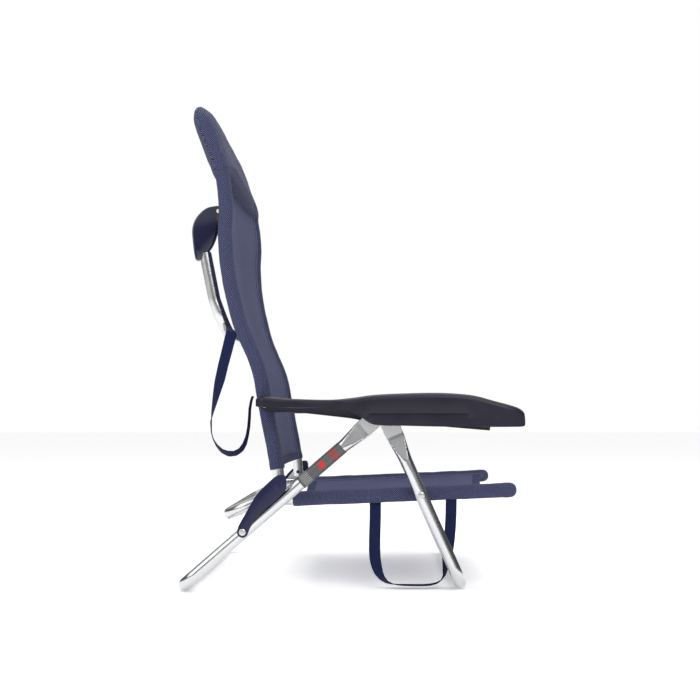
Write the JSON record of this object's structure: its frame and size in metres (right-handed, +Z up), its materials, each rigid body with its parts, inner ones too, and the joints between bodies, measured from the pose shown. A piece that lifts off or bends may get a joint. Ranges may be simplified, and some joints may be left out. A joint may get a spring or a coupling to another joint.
{
  "type": "beach chair",
  "caption": "Low folding beach chair with a bent tube frame, sling seat and reclining back, padded headrest, moulded armrests and webbing carrying straps.",
  "frame": {"origin": "on the ground, under the middle of the chair's length and width", "axes": "+X the way the sitter faces, +Y the sitter's left, +Z up"},
  "size_m": [0.5614, 0.61, 0.7956],
  "materials": {
    "aluminium_tube": "bright polished tube",
    "rivet_metal": "satin",
    "white_rivet": "satin white",
    "sling_fabric": "plain woven polyester, grey-blue",
    "sleeve_fabric": "textured navy mesh",
    "armrest_plastic": "satin moulded, very dark navy",
    "blue_plastic": "semi-gloss dark blue",
    "black_plastic": "satin black",
    "webbing": "flat navy webbing",
    "label": null
  },
  "bodies": {
    "rear_legs": {"rear_leg_frame": "aluminium_tube", "rear_leg_label_left": "label", "rear_leg_label_right": "label", "leg_pivot_pin_left": "rivet_metal", "leg_pivot_pin_right": "rivet_metal", "leg_pivot_bush_left": "black_plastic", "leg_pivot_bush_right": "black_plastic", "link_rivet_left": "rivet_metal", "link_rivet_right": "rivet_metal"},
    "folding_links": {"folding_link_left": "blue_plastic", "folding_link_right": "blue_plastic"},
    "front_legs": {"front_leg_frame": "aluminium_tube", "seat_rivet_left": "rivet_metal", "seat_rivet_right": "rivet_metal"},
    "seat": {"seat_frame": "aluminium_tube", "seat_sling": "sling_fabric", "seat_bracket_left": "rivet_metal", "seat_bracket_right": "rivet_metal", "seat_sleeve_left": "sleeve_fabric", "seat_sleeve_right": "sleeve_fabric", "seat_rail_plug_left": "black_plastic", "seat_rail_plug_right": "black_plastic", "seat_strap": "webbing"},
    "back_hinge": {"backrest_crossbar": "aluminium_tube", "back_pivot_pin_left": "rivet_metal", "back_pivot_pin_right": "rivet_metal", "back_pivot_spacer_left": "black_plastic", "back_pivot_spacer_right": "black_plastic"},
    "backrest": {"backrest_frame": "aluminium_tube", "backrest_sling": "sling_fabric", "backrest_sleeve_left": "sleeve_fabric", "backrest_sleeve_right": "sleeve_fabric", "headrest_pad": "sleeve_fabric", "support_rivet_left": "white_rivet", "support_rivet_right": "white_rivet", "back_strap": "webbing"},
    "support_leg": {"support_leg_tube": "aluminium_tube", "support_elbow_left": "blue_plastic", "support_elbow_right": "blue_plastic"},
    "arm_hinge": {"armrest_pin_left": "rivet_metal", "armrest_pin_right": "rivet_metal"},
    "armrests": {"armrest_left": "armrest_plastic", "armrest_right": "armrest_plastic", "armrest_track_left": "black_plastic", "armrest_track_right": "black_plastic"}
  },
  "joints": [
    {"name": "fold", "type": "hinge", "parent": "rear_legs", "child": "folding_links", "pos_m": [-0.1711, 0, 0.099], "axis": [0, -1, 0], "range_deg": [0, 134.95], "deforming": ["seat_strap", "back_strap"]},
    {"name": "front_leg_fold", "type": "hinge", "parent": "rear_legs", "child": "front_legs", "pos_m": [0.0546, 0, 0.2925], "axis": [0, 1, 0], "range_deg": [0, 67.1]},
    {"name": "seat_fold", "type": "hinge", "parent": "folding_links", "child": "seat", "pos_m": [-0.118, 0, 0.1705], "axis": [0, 1, 0], "range_deg": [0, 106.8]},
    {"name": "back_fold", "type": "hinge", "parent": "seat", "child": "back_hinge", "pos_m": [-0.118, 0, 0.1705], "axis": [0, 1, 0], "range_deg": [0, 90.1]},
    {"name": "recline", "type": "hinge", "parent": "back_hinge", "child": "backrest", "pos_m": [-0.118, 0, 0.1705], "axis": [0, 1, 0], "range_deg": [-73, 0]},
    {"name": "arm_fold", "type": "hinge", "parent": "backrest", "child": "arm_hinge", "pos_m": [-0.1402, 0, 0.3039], "axis": [0, -1, 0], "range_deg": [0, 95.5]},
    {"name": "arm_recline", "type": "hinge", "parent": "arm_hinge", "child": "armrests", "pos_m": [-0.1402, 0, 0.3039], "axis": [0, 1, 0], "range_deg": [0, 52.3]},
    {"name": "support_swing", "type": "hinge", "parent": "backrest", "child": "support_leg", "pos_m": [-0.22, 0, 0.625], "axis": [0, -1, 0], "range_deg": [-90, 0]}
  ],
  "couplings": [
    {"joint": "front_leg_fold", "follows": "fold", "ratio": 0.49648},
    {"joint": "seat_fold", "follows": "fold", "ratio": 0.7906},
    {"joint": "back_fold", "follows": "fold", "ratio": 0.66691},
    {"joint": "arm_fold", "follows": "fold", "ratio": 0.70648},
    {"joint": "arm_recline", "follows": "recline", "ratio": -0.71522}
  ]
}
